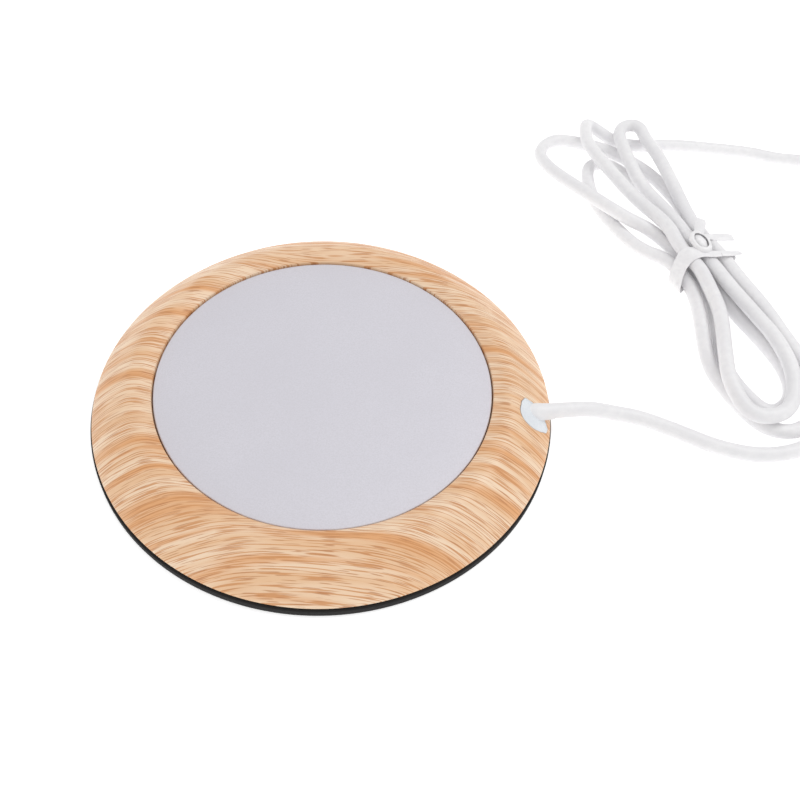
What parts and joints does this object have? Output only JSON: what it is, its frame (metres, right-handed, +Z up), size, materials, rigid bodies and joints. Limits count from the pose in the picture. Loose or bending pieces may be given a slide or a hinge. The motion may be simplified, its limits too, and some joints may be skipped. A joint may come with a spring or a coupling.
{
  "type": "electric mug warmer",
  "caption": "Round coaster-style mug warmer: wood-look ring round a heated metal plate, black foam base, and a white USB cord tied in a loose hank.",
  "frame": {"origin": "centre of the round housing on its underside, where it rests", "axes": "+Z up out of the heated plate; +X towards the side where the cord leaves; right-handed"},
  "size_m": [0.2571, 0.1824, 0.015],
  "materials": {
    "wood_film_abs": "moulded ABS with a printed wood-grain film, satin",
    "anodised_aluminium": "bead-blasted, silver anodised",
    "black_foam": "closed-cell EVA foam, cut edge",
    "black_abs": "moulded ABS, fine texture",
    "seal_rubber": "silicone rubber",
    "zinc_steel": "zinc-plated steel",
    "polyimide": "amber polyimide film",
    "etched_metal": "etched resistance foil",
    "solder": "tin solder",
    "fibre_felt": "needled glass-fibre felt",
    "phenolic": "moulded phenolic",
    "brass_strip": "rolled brass",
    "bimetal": "rolled bimetal",
    "red_pvc": "extruded PVC",
    "black_pvc": "extruded PVC",
    "collar_grey": "moulded translucent PVC",
    "white_pvc": "extruded soft PVC, satin",
    "tie_film": "crumpled polyethylene",
    "nickel_shell": "nickel-plated steel",
    "tongue_white": "moulded PBT",
    "gold_contact": "gold-plated copper"
  },
  "bodies": {
    "warmer": {"anti_slip_mat": "black_foam", "base_cover": "black_abs", "cover_screws": "zinc_steel", "wood_ring": "wood_film_abs", "heating_plate": "anodised_aluminium", "plate_gasket": "seal_rubber", "heater_film": "polyimide", "heater_track": "etched_metal", "heater_terminals": "solder", "insulation_pad": "fibre_felt", "clamp_plate": "zinc_steel", "clamp_screws": "zinc_steel", "thermostat_case": "phenolic", "thermostat_base": "phenolic", "moving_terminal": "brass_strip", "fixed_terminal": "brass_strip", "live_wire": "red_pvc", "return_wire": "black_pvc", "link_wire": "red_pvc", "cord_grommet": "collar_grey", "cord_lead": "white_pvc", "cord_hank": "white_pvc", "cord_tail": "white_pvc", "cord_tie": "tie_film", "usb_grip": "white_pvc", "usb_shell": "nickel_shell", "usb_tongue": "tongue_white", "usb_contacts": "gold_contact"},
    "blade": {"bimetal_blade": "bimetal"}
  },
  "joints": [
    {"name": "contact_opening", "type": "hinge", "parent": "warmer", "child": "blade", "pos_m": [-0.0046, 0, 0.00575], "axis": [0, -1, 0], "range_deg": [0, 5], "stiffness_Nm_per_rad": 0.00007, "springref_deg": -2.86}
  ]
}
